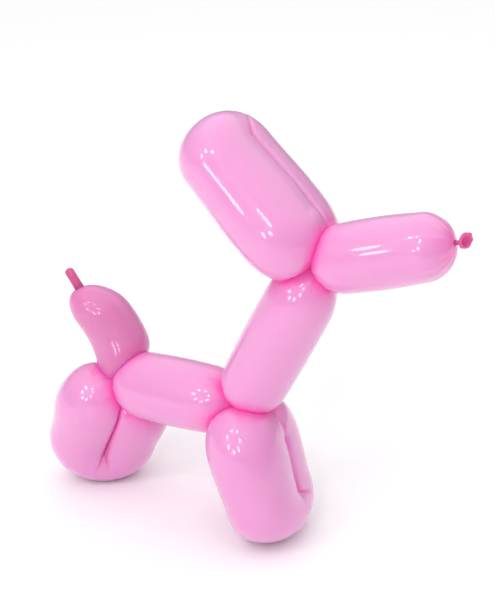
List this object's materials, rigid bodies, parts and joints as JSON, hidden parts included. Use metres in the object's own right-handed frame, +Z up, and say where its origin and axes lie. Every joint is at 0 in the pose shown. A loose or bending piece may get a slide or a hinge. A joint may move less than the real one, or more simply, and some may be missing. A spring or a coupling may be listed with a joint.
{
  "type": "balloon dog",
  "caption": "Dog figure twisted from one long modelling balloon: nose, folded ears, neck, folded front legs, body, folded hind legs and tail.",
  "frame": {"origin": "on the floor, under the middle of the outline", "axes": "+X towards the nose, +Y to the dog's left, +Z up"},
  "size_m": [0.3238, 0.1014, 0.3106],
  "materials": {
    "latex": "satin, candy pink, slightly translucent"
  },
  "bodies": {
    "root": {"balloon": "latex"}
  },
  "joints": []
}
